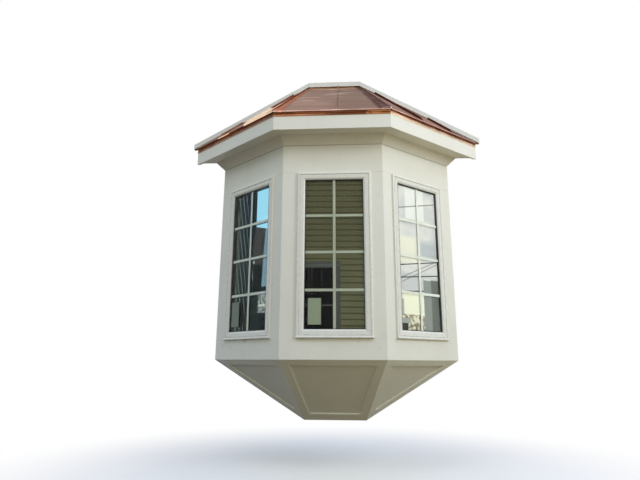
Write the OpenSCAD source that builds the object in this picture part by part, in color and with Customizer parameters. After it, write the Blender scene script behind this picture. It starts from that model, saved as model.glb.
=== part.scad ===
// Wall-hung bay window: three equal faces with windows, a copper hip roof and a panelled, tapering base.
// Origin: the middle of the platform ledger's back face, which is fastened to the house wall (plane y = 0).
// +X runs to the right as seen from outside, the bay stands out towards -Y, and +Z is up.

/* [Plan] */
// Width of the front face
front_w = 816; // [760:4:900]
// Width of each angled side face
side_w = 816; // [780:4:900]
// Angle that each side face turns back from the front face
side_angle = 40; // [36:1:45]

/* [Platform and seat] */
// Height of the floor platform and of its ledger
platform_h = 140; // [120:5:160]
// Thickness of the ledger boards that are fastened to the house
ledger_t = 38; // [30:1:45]
// Thickness of the seat board and of the ceiling board
board_t = 25; // [18:1:32]

/* [Walls] */
// Thickness of the framed wall behind the cladding
core_t = 100; // [90:1:120]
// Thickness of the white cladding boards
clad_t = 19; // [15:1:25]
// Height of the apron below the windows
apron_h = 160; // [150:2:200]
// Height of the head panel, from the windows to the frieze
head_h = 243; // [200:1:300]
// Gap between a window and the boards round it
caulk_gap = 1; // [0.5:0.5:3]

/* [Windows] */
// Width over the window frame
window_w = 590; // [560:2:600]
// Height over the window frame
window_h = 1329; // [1200:1:1400]
// Distance that the front window sits to the right of the bay's middle
front_window_shift = 14; // [-40:1:40]
// Distance from the front corner to the nearest edge of a side window
side_window_from_corner = 100; // [80:1:120]
// Width of the outer rim of the frame
rim_w = 18; // [12:1:24]
// Distance that the rim stands out from the cladding
rim_out = 16; // [12:1:22]
// Distance that the face inside the rim stands out from the cladding
face_out = 14; // [8:1:18]
// Width of the groove between the rim and the face
groove_w = 3; // [2:0.5:5]
// Depth of that groove
groove_d = 4; // [2:0.5:6]
// Distance that the nose of the sill stands out from the cladding
nose_out = 22; // [18:1:30]
// Height of the nose of the sill
nose_h = 14; // [8:1:18]
// Width of the frame beside the glass, rim included
frame_side_w = 62; // [50:1:70]
// Height of the frame above the glass, rim included
frame_top_h = 64; // [50:1:76]
// Height of the frame below the glass, rim included
frame_bottom_h = 66; // [56:1:80]
// Depth of the frame behind the cladding
frame_depth = 64; // [50:1:80]
// Distance that the body of the frame is set in from the rim
body_inset = 12; // [8:1:14]
// Distance from the face of the frame back to the glass
glass_set_back = 10; // [6:1:16]
// Thickness of the double glazing, over both panes
glass_t = 24; // [18:1:28]
// Thickness of one pane
pane_t = 4; // [3:0.5:5]
// Width of the spacer bar round the edge of the glazing, between the panes
spacer_w = 12; // [8:1:16]
// Width of the grille's flat bars, between the panes
bar_w = 22; // [16:1:28]
// Thickness of the grille's bars
bar_t = 8; // [5:1:9]
// Number of columns and of rows into which the grille divides the glass
grille_columns = 2; // [1:1:3]
grille_rows = 4; // [2:1:6]
// Depth to which the glass is held in the frame's groove
glass_grip = 10; // [6:1:14]

/* [Eaves] */
// Height of the sloped frieze board
frieze_h = 78; // [60:1:100]
// Distance that the top of the frieze board stands out
frieze_out = 54; // [40:1:70]
// Distance from the cladding to the face of the fascia
overhang = 173; // [150:1:200]
// Height of the fascia board
fascia_h = 140; // [120:1:160]
// Distance that the fascia hangs below the soffit
fascia_drop = 13; // [8:1:20]
// Thickness of the soffit board
soffit_t = 10; // [8:1:16]
// Height of the fascia that the copper drip edge hides
fascia_lap = 27; // [20:1:40]

/* [Roof] */
// Height of the roof, from the eaves to its top at the wall
roof_rise = 632; // [560:2:700]
// Width of the roof at its top
roof_top_w = 472; // [400:4:520]
// Thickness of the roof deck
deck_t = 16; // [12:1:22]
// Depth of the rafters
rafter_h = 89; // [80:1:110]
// Thickness of the rafters
rafter_t = 38; // [30:1:45]
// Thickness of the copper sheet
copper_t = 1.5; // [1:0.1:2]
// Distance that the copper stands out past the fascia
drip_out = 21; // [16:1:28]
// Height from the bottom of the copper drip edge to the eaves
drip_h = 43; // [36:1:50]
// Height of the standing seams
seam_h = 24; // [16:1:32]
// Thickness of the standing seams
seam_t = 5; // [4:0.5:8]
// Distance of the front seam from the middle of the roof
front_seam_x = 40; // [-120:5:120]
// Number of seams on each side slope
side_seams = 2; // [1:1:3]
// Width of each wing of a hip cap at the eaves, in plan
hip_wing_foot = 75; // [50:1:90]
// Width of each wing at the top of the hip
hip_wing_head = 16; // [12:1:40]
// Height of the fold along a hip
hip_fold_h = 10; // [6:1:16]
// Thickness of that fold
hip_fold_t = 8; // [5:1:12]
// Height of the white wall trim above the copper
wall_trim_h = 50; // [40:1:70]
// Thickness of the white wall trim
wall_trim_t = 22; // [18:1:30]
// Height of the trim's upper step
wall_step_h = 26; // [16:1:34]
// Distance that the upper step stands out from the rest of the trim
wall_step_out = 7; // [4:1:12]

/* [Base] */
// Height of the tapering base
base_h = 482; // [400:2:560]
// Width of the base at its foot
base_foot_w = 514; // [440:2:600]
// Thickness of the raised frames on the base
base_frame_t = 14; // [10:1:20]
// Thickness of the panels behind those frames
base_panel_t = 12; // [9:1:18]
// Width of the frames' top rails
base_top_rail = 62; // [50:1:80]
// Width of the stiles along the ridges
base_stile = 62; // [50:1:80]
// Width of the front frame's bottom rail
base_bottom_rail = 78; // [60:1:90]
// Width of the side frames' rails against the wall
base_wall_rail = 62; // [50:1:70]
// Thickness of the two brackets inside the base
bracket_t = 38; // [30:1:45]

/* [Hidden] */

// Small clearances between pieces that are fitted together
mitre_gap = 0.5;
joint_gap = 0.3;
pan_gap = 1;
fit_gap = 1.5;
// Length by which a cutter runs past what it cuts
past = 5;

// Plan of the bay: half widths and projection of the cladding's face
half_front = front_w / 2;
projection = side_w * sin(side_angle);
half_wall = half_front + side_w * cos(side_angle);

// Heights, from the bottom of the walls upwards
z_wall = -platform_h / 2;
z_floor = platform_h / 2;
z_window = z_wall + apron_h;
z_head = z_window + window_h;
z_frieze = z_head + head_h;
z_soffit = z_frieze + frieze_h;
z_fascia = z_soffit - fascia_drop;

// Roof: its surface is the top of the copper
eave_out = overhang + drip_out;
z_eave = z_fascia + fascia_h - fascia_lap + drip_h;
z_top = z_eave + roof_rise;
half_top = roof_top_w / 2;
eave_front = projection + eave_out;
front_slope = roof_rise / eave_front;
roof_pitch = atan(front_slope);
deck_v = deck_t / cos(roof_pitch);
rafter_v = rafter_h / cos(roof_pitch);

// Base
base_front_len = sqrt(projection * projection + base_h * base_h);
base_slant = atan2(base_h, projection);
z_foot = z_wall - base_h;
half_foot = base_foot_w / 2;

white = [0.93, 0.93, 0.9];
timber = [0.76, 0.62, 0.42];
copper = [0.72, 0.38, 0.24];

// Corner of the plan between the front and the right side, at a distance out from the cladding's face
function corner(out) = [half_front + out * tan(side_angle / 2), -(projection + out)];
// Where the right side reaches the house wall or another plane of equal y, at that distance
function at_wall(out, y = 0) = [half_wall + (out + cos(side_angle) * y) / sin(side_angle), y];
function flip(p) = [-p[0], p[1]];
// Distance of a plan point outside the right side's face
function out_of_side(p) = sin(side_angle) * (p[0] - half_front) - cos(side_angle) * (p[1] + projection);

// Plan outlines of one face's strip between two distances, and of the whole bay inside one distance
function front_strip(inner, outer) = [flip(corner(outer)), corner(outer), corner(inner), flip(corner(inner))];
function side_strip(inner, outer) = [corner(outer), at_wall(outer), at_wall(inner), corner(inner)];
function whole_plan(out) = [flip(at_wall(out)), flip(corner(out)), corner(out), at_wall(out)];

// Roof planes as [height at the origin, rise per x, rise per y]
side_slope = roof_rise / (eave_out - out_of_side([half_top, 0]));
front_plane = [z_eave + eave_front * front_slope, 0, front_slope];
right_plane = [
    z_eave + side_slope * (eave_out + half_front * sin(side_angle) + projection * cos(side_angle)),
    -side_slope * sin(side_angle),
    side_slope * cos(side_angle)
];
function height_on(plane, p) = plane[0] + plane[1] * p[0] + plane[2] * p[1];

// Plan points on the right hip and on the right eaves, at a given y
function hip_x(y) = half_top + (corner(eave_out)[0] - half_top) * -y / eave_front;
function eave_x(y) = at_wall(eave_out, y)[0];

// Where two plan lines meet, each given by a point and a direction
function cross2(a, b) = a[0] * b[1] - a[1] * b[0];
function meet(p, u, q, v) = p + u * (cross2(q - p, v) / cross2(u, v));
function unit(v) = v / norm(v);
// An anticlockwise outline whose edge i, from point i to the next, is moved in by widths[i]
function inset(points, widths) = let (n = len(points)) [
    for (i = [0:n - 1])
        let (
            j = (i + n - 1) % n,
            u = unit(points[(i + 1) % n] - points[i]),
            v = unit(points[i] - points[j])
        )
        meet(points[i] + [-u[1], u[0]] * widths[i], u, points[i] + [-v[1], v[0]] * widths[j], v)
];

// Solid between two outlines with as many points each, the first one seen clockwise from outside
module between(a, b) {
    n = len(a);
    polyhedron(
        points = concat(a, b),
        faces = concat(
            [[for (i = [0:n - 1]) i]],
            [[for (i = [n - 1:-1:0]) n + i]],
            [for (i = [0:n - 1]) [(i + 1) % n, i, n + i, n + (i + 1) % n]]
        )
    );
}

// Solid that follows a roof plane over an anticlockwise plan outline, from one height over the plane to another
module on_plane(outline, plane, low, high) {
    function lifted(h) = [for (p = outline) [p[0], p[1], height_on(plane, p) + h]];
    between(lifted(low), lifted(high));
}

// Bent strip along one face: its section is given as outer and inner lines of [distance out, height],
// and its ends follow the mitre lines of the plan
module face_run(outer, inner, side, end_y = 0) {
    n = len(outer);
    line = concat(outer, inner);
    function start(p) = side ? corner(p[0]) : flip(corner(p[0]));
    function end(p) = side ? at_wall(p[0], end_y) : corner(p[0]);
    shift = side ? unit(at_wall(0) - corner(0)) * mitre_gap : [mitre_gap, 0];
    polyhedron(
        points = concat(
            [for (p = line) let (q = start(p) + shift) [q[0], q[1], p[1]]],
            [for (p = line) let (q = end(p) - (side ? [0, 0] : shift)) [q[0], q[1], p[1]]]
        ),
        faces = concat(
            [for (i = [0:n - 2]) [i, i + 1, n + i + 1, n + i]],
            [for (i = [0:n - 2]) [2 * n + i, 3 * n + i, 3 * n + i + 1, 2 * n + i + 1]],
            [for (i = [0:n - 2]) [i, 2 * n + i, 2 * n + i + 1, i + 1]],
            [for (i = [0:n - 2]) [n + i, n + i + 1, 3 * n + i + 1, 3 * n + i]],
            [[0, n, 3 * n, 2 * n]],
            [[n - 1, 3 * n - 1, 4 * n - 1, 2 * n - 1]]
        )
    );
}

// A bent strip along all three faces
module all_faces(outer, inner, end_y = 0) {
    face_run(outer, inner, false);
    face_run(outer, inner, true, end_y);
    mirror([1, 0, 0]) face_run(outer, inner, true, end_y);
}

// Puts a child, drawn with x along a face, y into the house and its middle at x = 0, in a window's place
module on_front() {
    translate([front_window_shift, -projection, 0]) children();
}
module on_right() {
    translate([half_front, -projection, 0])
        rotate([0, 0, side_angle])
            translate([side_window_from_corner + window_w / 2, 0, 0])
                children();
}

// Block in a face's own frame, round the window, grown by a margin, from a depth to another
module window_block(margin, from, to) {
    translate([-window_w / 2 - margin, from, z_window - margin])
        cube([window_w + 2 * margin, to - from, window_h + 2 * margin]);
}

// Glass area, grown by a margin
module glass_block(margin, from, to) {
    translate([-window_w / 2 + frame_side_w - margin, from, z_window + frame_bottom_h - margin])
        cube([
            window_w - 2 * frame_side_w + 2 * margin,
            to - from,
            window_h - frame_top_h - frame_bottom_h + 2 * margin
        ]);
}

// Platform, seat and ceiling
module platform_ledger() {
    half = at_wall(-clad_t)[0] - ledger_t / tan(side_angle);
    color(timber)
        translate([-half, -ledger_t, z_wall])
            cube([2 * half, ledger_t, platform_h]);
}
module platform() {
    color(timber)
        translate([0, 0, z_wall])
            linear_extrude(platform_h)
                difference() {
                    polygon(whole_plan(-clad_t));
                    square([4 * half_wall, 2 * ledger_t], center = true);
                }
}
module seat_board() {
    color(white)
        translate([0, 0, z_floor])
            linear_extrude(board_t)
                polygon(whole_plan(-clad_t - core_t));
}
module ceiling_board() {
    color(white)
        translate([0, 0, z_head])
            linear_extrude(board_t)
                polygon(whole_plan(-clad_t - core_t));
}

// Framed walls, each cut for its window
wall_top = height_on(front_plane, [0, -(projection - clad_t)]) - deck_v - rafter_v - copper_t;
module wall_core(outline) {
    translate([0, 0, z_floor])
        linear_extrude(wall_top - z_floor)
            polygon(outline);
}
module rough_opening() {
    window_block(fit_gap - body_inset, clad_t - past, clad_t + core_t + past);
}
module front_wall() {
    color(timber)
        difference() {
            wall_core(front_strip(-clad_t - core_t, -clad_t));
            on_front() rough_opening();
        }
}
module right_wall() {
    color(timber)
        difference() {
            wall_core(side_strip(-clad_t - core_t, -clad_t));
            on_right() rough_opening();
        }
}

// White cladding boards: apron, stiles beside the window and head panel
module board(outline, low, high) {
    color(white)
        translate([0, 0, low])
            linear_extrude(high - low)
                polygon(outline);
}
module stiles(outline) {
    difference() {
        board(outline, z_window, z_head);
        children();
    }
}
module window_hole() {
    window_block(caulk_gap, -past, clad_t + past);
}
front_board = front_strip(-clad_t, 0);
right_board = side_strip(-clad_t, 0);

// Window frame: a raised rim, a flat face and a body in the wall, grooved for the glass
glass_front = glass_set_back - face_out;
module window_frame() {
    color(white)
        difference() {
            union() {
                window_block(0, -rim_out, clad_t);
                window_block(-body_inset, clad_t, clad_t + frame_depth);
                translate([-window_w / 2, -nose_out, z_window])
                    cube([window_w, nose_out, nose_h]);
            }
            window_block(-rim_w, -nose_out - past, -face_out);
            difference() {
                window_block(-rim_w, -face_out - past, groove_d - face_out);
                window_block(-rim_w - groove_w, -face_out - 2 * past, groove_d);
            }
            glass_block(0, -nose_out - past, clad_t + frame_depth + past);
            glass_block(glass_grip, glass_front, glass_front + glass_t);
        }
}

// Double glazing: two panes, with a spacer round the edge between them that carries the grille
module glass() {
    edge = glass_grip - fit_gap;
    color([0.6, 0.7, 0.72, 0.4]) {
        glass_block(edge, glass_front, glass_front + pane_t);
        glass_block(edge, glass_front + glass_t - pane_t, glass_front + glass_t);
    }
}
module glass_spacer() {
    edge = glass_grip - fit_gap;
    difference() {
        glass_block(edge, glass_front + pane_t, glass_front + glass_t - pane_t);
        glass_block(edge - spacer_w, glass_front, glass_front + glass_t);
    }
}
module grille_bars() {
    glass_w = window_w - 2 * frame_side_w;
    glass_h = window_h - frame_top_h - frame_bottom_h;
    front = glass_front + (glass_t - bar_t) / 2;
    z_low = z_window + frame_bottom_h;
    for (i = [1:grille_columns - 1])
        translate([(i / grille_columns - 0.5) * glass_w - bar_w / 2, front, z_low])
            cube([bar_w, bar_t, glass_h]);
    for (i = [1:grille_rows - 1])
        translate([-glass_w / 2, front, z_low + i / grille_rows * glass_h - bar_w / 2])
            cube([glass_w, bar_t, bar_w]);
}
module window_grille() {
    color(white) {
        glass_spacer();
        grille_bars();
    }
}
module window_grilles() {
    on_front() window_grille();
    on_right() window_grille();
    mirror([1, 0, 0]) on_right() window_grille();
}

// Eaves: sloped frieze, soffit and fascia
frieze_run = clad_t * norm([frieze_out, frieze_h]) / frieze_h;
module frieze() {
    frieze_rise = frieze_run * frieze_h / frieze_out;
    color(white)
        all_faces(
            [[frieze_out, z_soffit], [0, z_frieze]],
            [[frieze_out - frieze_run, z_soffit], [0, z_frieze + frieze_rise]]
        );
}
module soffit() {
    color(white)
        all_faces(
            [[overhang - clad_t, z_soffit], [0, z_soffit]],
            [[overhang - clad_t, z_soffit + soffit_t], [0, z_soffit + soffit_t]]
        );
}
fascia_outer = [[overhang, z_fascia + fascia_h], [overhang, z_fascia]];
fascia_inner = [[overhang - clad_t, z_fascia + fascia_h], [overhang - clad_t, z_fascia]];
module fascia(side) {
    color(white) face_run(fascia_outer, fascia_inner, side);
}

// Roof outline at a distance from the wall, seen from outside, lowered by a drop
function roof_line(y, drop) = [
    [-eave_x(y), z_eave - drop],
    [-hip_x(y), height_on(front_plane, [0, y]) - drop],
    [hip_x(y), height_on(front_plane, [0, y]) - drop],
    [eave_x(y), z_eave - drop]
];
under_deck = copper_t + deck_v;

// Space that the roof timbers may fill, behind the fascia and over the soffit
module attic() {
    translate([0, 0, z_soffit + soffit_t])
        linear_extrude(2 * roof_rise)
            polygon(whole_plan(overhang - clad_t));
}
module upright_board(outline, t) {
    rotate([90, 0, 0]) linear_extrude(t) polygon(outline);
}
module roof_ledger() {
    top = roof_line(-ledger_t, under_deck);
    low = roof_line(-ledger_t, under_deck + rafter_v);
    color(timber)
        intersection() {
            upright_board(concat(top, [low[3], low[2], low[1], low[0]]), ledger_t);
            attic();
        }
}

// A rafter along a plan line from the ledger's face out past the eaves
module rafter(foot, head, plane) {
    u = unit(head - foot);
    w = [-u[1], u[0]] * rafter_t / 2;
    on_plane([foot + w, foot - w, head - w, head + w], plane, -under_deck - rafter_v, -under_deck);
}
// The hip rafter's plane is level across the hip, and lies under both slopes
function hip_plane() =
    let (
        foot = corner(eave_out),
        u = unit([half_top, 0] - foot),
        rise = roof_rise / norm([half_top, 0] - foot),
        drop = rafter_t / 2 * abs(front_slope * u[0])
    )
    [z_eave - drop - rise * (u * foot), rise * u[0], rise * u[1]];
module half_rafters() {
    common_x = half_top * 0.7;
    rafter([common_x, -eave_front], [common_x, -ledger_t], front_plane);
    rafter(corner(eave_out), [hip_x(-ledger_t), -ledger_t], hip_plane());
    jack = (corner(eave_out) + at_wall(eave_out)) / 2;
    inward = [-sin(side_angle), cos(side_angle)];
    rafter(jack, meet(jack, inward, [0, -ledger_t - rafter_t / 2], [1, 0]), right_plane);
}
module rafters() {
    color(timber)
        intersection() {
            union() {
                half_rafters();
                mirror([1, 0, 0]) half_rafters();
            }
            attic();
        }
}

// Deck and copper run from the eaves to the face of the wall trim
wall_face = -wall_trim_t;
function side_cut(p) = let (d = [-sin(side_angle), cos(side_angle)]) meet(p, d, [0, wall_face], [1, 0]);
function eave_share(out, share) = corner(out) + (at_wall(out) - corner(out)) * share;
function at_face(out) = at_wall(out, wall_face);

module roof_deck() {
    hip = [hip_x(wall_face), wall_face];
    gap = [mitre_gap, 0];
    color(timber) {
        on_plane(
            [flip(corner(overhang)) + gap, corner(overhang) - gap, hip - gap, flip(hip) + gap],
            front_plane, -under_deck, -copper_t
        );
        right_deck(hip + gap);
        mirror([1, 0, 0]) right_deck(hip + gap);
    }
}
module right_deck(hip) {
    on_plane([corner(overhang) + [mitre_gap, 0], at_face(overhang), hip], right_plane, -under_deck, -copper_t);
}

// Copper pans between the seams
module front_roof_pans() {
    hip = [hip_x(wall_face), wall_face];
    far = corner(eave_out);
    seam = front_seam_x;
    color(copper) {
        on_plane(
            [flip(far) + [pan_gap, 0], [seam - pan_gap, far[1]], [seam - pan_gap, wall_face], flip(hip) + [pan_gap, 0]],
            front_plane, -copper_t, 0
        );
        on_plane(
            [[seam + pan_gap, far[1]], far - [pan_gap, 0], hip - [pan_gap, 0], [seam + pan_gap, wall_face]],
            front_plane, -copper_t, 0
        );
    }
}
function side_seam_foot(i) = eave_share(eave_out, i / (side_seams + 1));
module right_roof_pans() {
    along = unit(at_wall(0) - corner(0)) * pan_gap;
    color(copper)
        for (i = [0:side_seams]) {
            first = side_seam_foot(i) + along;
            last = side_seam_foot(i + 1) - along;
            top_first = i == 0 ? [hip_x(wall_face), wall_face] + along : side_cut(first);
            on_plane(
                i == side_seams
                    ? [first, at_face(eave_out), top_first]
                    : [first, last, side_cut(last), top_first],
                right_plane, -copper_t, 0
            );
        }
}

// Standing seams, which stop short of the eaves' edge and of the wall trim
module seam_rib(foot, head, plane) {
    u = unit(head - foot);
    w = [-u[1], u[0]] * seam_t / 2;
    a = foot + u * seam_t;
    b = head - u * (seam_t + wall_step_out / cos(side_angle));
    on_plane([a + w, a - w, b - w, b + w], plane, 0, seam_h);
}
module roof_seams() {
    color(copper) {
        seam_rib([front_seam_x, -eave_front], [front_seam_x, wall_face], front_plane);
        for (i = [1:side_seams]) {
            seam_rib(side_seam_foot(i), side_cut(side_seam_foot(i)), right_plane);
            mirror([1, 0, 0]) seam_rib(side_seam_foot(i), side_cut(side_seam_foot(i)), right_plane);
        }
    }
}

// Hip caps: a wing on each slope and a fold that stands up along the hip
module hip_cap() {
    foot = corner(eave_out);
    head = [hip_x(wall_face), wall_face];
    hip = unit(head - foot);
    // The wings are hemmed all round, so they are two sheets thick
    cap_t = 2 * copper_t;
    side_eave = unit(at_wall(0) - corner(0));
    // The plan point at a distance from the hip, reached from p in direction d
    function beside(p, d, w) = p + d * w / abs(cross2(hip, d));
    function lift(plane, p, h) = [p[0], p[1], height_on(plane, p) + h];
    // Outline of one end, from the front wing's edge over the hip's underside and back over the fold
    function section(p, side_way, wing) =
        let (
            front_edge = beside(p, [-1, 0], wing),
            side_edge = beside(p, side_way, wing),
            front_fold = beside(p, [-1, 0], hip_fold_t / 2),
            side_fold = beside(p, side_way, hip_fold_t / 2)
        )
        [
            lift(front_plane, front_edge, 0),
            lift(front_plane, p, 0),
            lift(right_plane, side_edge, 0),
            lift(right_plane, side_edge, cap_t),
            lift(right_plane, side_fold, cap_t),
            lift(right_plane, side_fold, hip_fold_h),
            lift(front_plane, p, hip_fold_h),
            lift(front_plane, front_fold, hip_fold_h),
            lift(front_plane, front_fold, cap_t),
            lift(front_plane, front_edge, cap_t)
        ];
    low = section(foot, side_eave, hip_wing_foot);
    n = len(low);
    // Each end is two wings and two halves of the fold, all of them convex
    ends = [[0, 1, 8, 9], [1, 6, 7, 8], [1, 2, 3, 4], [1, 4, 5, 6]];
    polyhedron(
        points = concat(low, section(head, [1, 0], hip_wing_head)),
        faces = concat(
            [for (part = ends) [part[3], part[2], part[1], part[0]]],
            [for (part = ends) [for (i = part) n + i]],
            [for (i = [0:n - 1]) [i, (i + 1) % n, n + (i + 1) % n, n + i]]
        )
    );
}
module hip_caps() {
    color(copper) {
        hip_cap();
        mirror([1, 0, 0]) hip_cap();
    }
}

// Drip edge: a flange on the fascia that kicks out at its foot, under a lip below the pans
module drip_edge() {
    z_drip = z_eave - drip_h;
    kick = drip_out / 2;
    lip = eave_out - copper_t;
    z_lip = z_eave - copper_t - 3 * copper_t;
    inner = [
        [overhang + kick, z_drip],
        [overhang, z_drip + kick],
        [overhang, z_lip],
        [lip - 2 * copper_t, z_lip],
        [lip - 2 * copper_t, z_lip - 2 * kick / 3]
    ];
    outer = [
        [overhang + kick + copper_t, z_drip],
        [overhang + copper_t, z_drip + kick + copper_t / 2],
        [overhang + copper_t, z_lip - copper_t],
        [lip - 3 * copper_t, z_lip - copper_t],
        [lip - 3 * copper_t, z_lip - 2 * kick / 3]
    ];
    color(copper) all_faces(outer, inner, wall_face - mitre_gap);
}

// White trim on the wall, over the roof's edge: a level board and one down each side, each with a raised upper step
module trim_boards(low, high, t) {
    end_x = eave_x(0);
    z_end = z_eave - drip_h / 4;
    lower = roof_line(wall_face, low);
    upper = roof_line(wall_face, high);
    gap = [mitre_gap, 0];
    slope = [lower[2], [end_x, z_end - low], [end_x, z_end - high], upper[2]];
    upright_board([upper[1] + gap, lower[1] + gap, lower[2] - gap, upper[2] - gap], t);
    upright_board(slope, t);
    mirror([1, 0, 0]) upright_board(slope, t);
}
module wall_trim() {
    color(white) {
        trim_boards(under_deck, -wall_trim_h, wall_trim_t);
        trim_boards(wall_step_h - wall_trim_h, -wall_trim_h, wall_trim_t + wall_step_out);
    }
}

// Base: layers between the outer planes and planes set in by a depth
front_normal = [0, -base_h, -projection] / base_front_len;
side_normal = let (
        c = [half_front, -projection, z_wall],
        w = [half_wall, 0, z_wall],
        f = [half_foot, 0, z_foot]
    )
    unit(cross(w - f, c - f));
front_reach = front_normal * [0, 0, z_foot];
side_reach = side_normal * [half_foot, 0, z_foot];
function base_corner(depth) =
    let (y = (front_reach - depth - front_normal[2] * z_wall) / front_normal[1])
    [(side_reach - depth - side_normal[1] * y - side_normal[2] * z_wall) / side_normal[0], y, z_wall];
function base_foot(depth) =
    let (z = (front_reach - depth) / front_normal[2])
    [(side_reach - depth - side_normal[2] * z) / side_normal[0], 0, z];
function base_at_wall(depth) = [(side_reach - depth - side_normal[2] * z_wall) / side_normal[0], 0, z_wall];
function flip3(p) = [-p[0], p[1], p[2]];
function base_front_face(depth) = [
    flip3(base_corner(depth)), base_corner(depth), base_foot(depth), flip3(base_foot(depth))
];
function base_side_face(depth) = [base_corner(depth), base_at_wall(depth), base_foot(depth)];

module base_front_layer(from, to) {
    between(base_front_face(from), base_front_face(to));
}
module base_side_layer(from, to) {
    between(base_side_face(from), base_side_face(to));
}
module base_front_panel() {
    color(white) base_front_layer(base_frame_t, base_frame_t + base_panel_t);
}
module base_side_panel() {
    color(white) base_side_layer(base_frame_t + joint_gap, base_frame_t + base_panel_t);
}

// Raised frames: each face's layer with its field cut out
module base_front_frame() {
    outline = [
        [-half_front, 0], [half_front, 0], [half_foot, base_front_len], [-half_foot, base_front_len]
    ];
    field = inset(outline, [base_top_rail, base_stile, base_bottom_rail, base_stile]);
    color(white)
        difference() {
            base_front_layer(0, base_frame_t);
            translate([0, -projection, z_wall])
                rotate([-base_slant, 0, 0])
                    translate([0, 0, -past])
                        linear_extrude(base_frame_t + 2 * past)
                            polygon(field);
        }
}
module base_side_frame() {
    origin = [half_front, -projection, z_wall];
    ex = [cos(side_angle), sin(side_angle), 0];
    ez = -side_normal;
    ey = cross(ez, ex);
    foot = [half_foot, 0, z_foot] - origin;
    field = inset(
        [[0, 0], [side_w, 0], [foot * ex, foot * ey]],
        [base_top_rail, base_wall_rail, base_stile]
    );
    color(white)
        difference() {
            base_side_layer(0, base_frame_t);
            multmatrix([
                [ex[0], ey[0], ez[0], origin[0]],
                [ex[1], ey[1], ez[1], origin[1]],
                [ex[2], ey[2], ez[2], origin[2]],
                [0, 0, 0, 1]
            ])
                translate([0, 0, -past])
                    linear_extrude(base_frame_t + 2 * past)
                        polygon(field);
        }
}
module base_brackets() {
    depth = base_frame_t + base_panel_t;
    outline = [[0, z_wall], [base_corner(depth)[1], z_wall], [0, base_foot(depth)[2]]];
    color(timber)
        for (s = [-1, 1])
            translate([s * half_foot / 2 - bracket_t / 2, 0, 0])
                rotate([90, 0, 90])
                    linear_extrude(bracket_t)
                        polygon(outline);
}

platform_ledger();
platform();
seat_board();
ceiling_board();
mirror([1, 0, 0]) right_wall();  // left_wall
front_wall();
right_wall();
mirror([1, 0, 0]) board(right_board, z_wall, z_window);  // left_apron
board(front_board, z_wall, z_window);  // front_apron
board(right_board, z_wall, z_window);  // right_apron
mirror([1, 0, 0]) stiles(right_board) on_right() window_hole();  // left_stiles
stiles(front_board) on_front() window_hole();  // front_stiles
stiles(right_board) on_right() window_hole();  // right_stiles
mirror([1, 0, 0]) board(right_board, z_head, z_soffit);  // left_head_panel
board(front_board, z_head, z_soffit);  // front_head_panel
board(right_board, z_head, z_soffit);  // right_head_panel
mirror([1, 0, 0]) on_right() window_frame();  // left_window_frame
on_front() window_frame();  // front_window_frame
on_right() window_frame();  // right_window_frame
mirror([1, 0, 0]) on_right() glass();  // left_glass
on_front() glass();  // front_glass
on_right() glass();  // right_glass
window_grilles();
frieze();
soffit();
mirror([1, 0, 0]) fascia(true);  // left_fascia
fascia(false);  // front_fascia
fascia(true);  // right_fascia
roof_ledger();
rafters();
roof_deck();
mirror([1, 0, 0]) right_roof_pans();  // left_roof_pans
front_roof_pans();
right_roof_pans();
roof_seams();
hip_caps();
drip_edge();
wall_trim();
base_brackets();
mirror([1, 0, 0]) base_side_panel();  // base_left_panel
base_front_panel();
base_side_panel();  // base_right_panel
mirror([1, 0, 0]) base_side_frame();  // base_left_frame
base_front_frame();
base_side_frame();  // base_right_frame
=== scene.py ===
"""Looks of a wall-hung bay window: white boards, three windows, a copper hip roof and a panelled base.

Lengths are metres in the model's own frame: the origin is on the house wall, the bay stands out
towards -Y, +X is to the right as seen from outside, and +Z is up. What the two sides share is worked
out for the right one and mirrored for the left.
"""
import math

import bmesh
import bpy
from mathutils import Matrix, Vector, noise

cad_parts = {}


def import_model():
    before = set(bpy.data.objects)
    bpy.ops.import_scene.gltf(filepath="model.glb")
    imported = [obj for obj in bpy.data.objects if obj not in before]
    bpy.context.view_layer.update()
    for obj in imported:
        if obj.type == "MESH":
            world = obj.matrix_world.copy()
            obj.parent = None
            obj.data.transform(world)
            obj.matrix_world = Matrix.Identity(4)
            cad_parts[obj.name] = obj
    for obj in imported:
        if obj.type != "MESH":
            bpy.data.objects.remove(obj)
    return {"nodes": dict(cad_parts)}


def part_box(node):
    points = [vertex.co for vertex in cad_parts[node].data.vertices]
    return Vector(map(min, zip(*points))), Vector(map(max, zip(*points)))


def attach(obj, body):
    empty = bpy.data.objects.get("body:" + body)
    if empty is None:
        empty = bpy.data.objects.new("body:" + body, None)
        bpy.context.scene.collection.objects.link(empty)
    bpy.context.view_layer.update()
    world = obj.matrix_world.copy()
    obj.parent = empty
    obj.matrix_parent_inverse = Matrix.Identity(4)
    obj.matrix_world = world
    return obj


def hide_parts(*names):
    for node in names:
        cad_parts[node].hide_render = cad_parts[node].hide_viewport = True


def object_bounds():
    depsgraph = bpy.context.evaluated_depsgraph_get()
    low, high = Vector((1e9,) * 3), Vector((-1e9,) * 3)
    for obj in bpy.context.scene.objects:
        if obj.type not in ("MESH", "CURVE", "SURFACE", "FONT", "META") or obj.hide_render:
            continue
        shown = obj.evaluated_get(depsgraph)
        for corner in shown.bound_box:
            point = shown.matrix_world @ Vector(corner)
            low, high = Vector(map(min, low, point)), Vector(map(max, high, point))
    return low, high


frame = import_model()
cad_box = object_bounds()
BODY = "root"

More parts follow.
